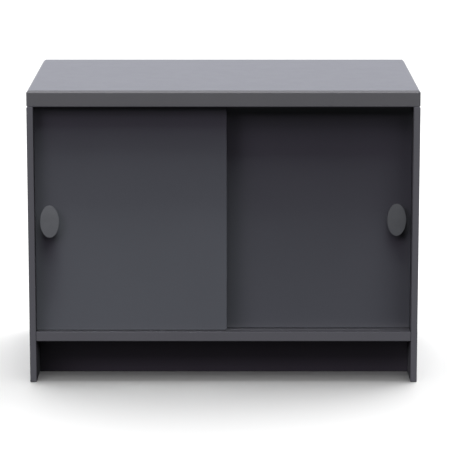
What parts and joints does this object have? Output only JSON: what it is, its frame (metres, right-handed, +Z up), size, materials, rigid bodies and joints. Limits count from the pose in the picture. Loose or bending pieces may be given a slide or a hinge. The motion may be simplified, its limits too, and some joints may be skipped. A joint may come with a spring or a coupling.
{
  "type": "sliding door cabinet",
  "caption": "Low charcoal cabinet with bypass sliding doors, oval pulls, a thick chamfered top, side panels that stand as feet and a recessed toe kick.",
  "frame": {"origin": "on the floor, under the middle of the cabinet's width and depth", "axes": "+X along the width to the viewer's right, +Y from the front to the back, +Z up"},
  "size_m": [0.965, 0.61, 0.734],
  "materials": {
    "board": "solid through-coloured charcoal board, fine matte surface",
    "pull": "charcoal, matte, softly rounded",
    "nylon": "dark, slightly waxy",
    "steel": "bright zinc",
    "dowel": "plain turned beech"
  },
  "bodies": {
    "carcass": {"back_panel": "board", "back_panel_screw_centre_lower": "steel", "back_panel_screw_centre_upper": "steel", "back_panel_screw_left_lower": "steel", "back_panel_screw_left_middle": "steel", "back_panel_screw_left_upper": "steel", "back_panel_screw_right_lower": "steel", "back_panel_screw_right_middle": "steel", "back_panel_screw_right_upper": "steel", "bottom_panel": "board", "centre_divider": "board", "left_front_dowel": "dowel", "left_front_top_bracket": "steel", "left_front_top_bracket_side_screw": "steel", "left_front_top_bracket_top_screw": "steel", "left_rear_dowel": "dowel", "left_rear_top_bracket": "steel", "left_rear_top_bracket_side_screw": "steel", "left_rear_top_bracket_top_screw": "steel", "left_shelf": "board", "left_shelf_pin_inner_front": "steel", "left_shelf_pin_inner_rear": "steel", "left_shelf_pin_outer_front": "steel", "left_shelf_pin_outer_rear": "steel", "left_side": "board", "rear_plinth": "board", "right_front_dowel": "dowel", "right_front_top_bracket": "steel", "right_front_top_bracket_side_screw": "steel", "right_front_top_bracket_top_screw": "steel", "right_rear_dowel": "dowel", "right_rear_top_bracket": "steel", "right_rear_top_bracket_side_screw": "steel", "right_rear_top_bracket_top_screw": "steel", "right_shelf": "board", "right_shelf_pin_inner_front": "steel", "right_shelf_pin_inner_rear": "steel", "right_shelf_pin_outer_front": "steel", "right_shelf_pin_outer_rear": "steel", "right_side": "board", "toe_kick": "board", "top_panel": "board"},
    "front_door_set": {"front_door": "board", "front_door_left_guide": "nylon", "front_door_left_runner": "nylon", "front_door_right_guide": "nylon", "front_door_right_runner": "nylon", "front_pull": "pull", "front_pull_screw_lower": "steel", "front_pull_screw_upper": "steel"},
    "rear_door_set": {"rear_door": "board", "rear_door_left_guide": "nylon", "rear_door_left_runner": "nylon", "rear_door_right_guide": "nylon", "rear_door_right_runner": "nylon", "rear_pull": "pull", "rear_pull_screw_lower": "steel", "rear_pull_screw_upper": "steel"}
  },
  "joints": [
    {"name": "front_door_slide", "type": "slide", "parent": "carcass", "child": "front_door_set", "axis": [1, 0, 0], "range_m": [0, 0.458]},
    {"name": "rear_door_slide", "type": "slide", "parent": "carcass", "child": "rear_door_set", "axis": [-1, 0, 0], "range_m": [0, 0.458]}
  ]
}
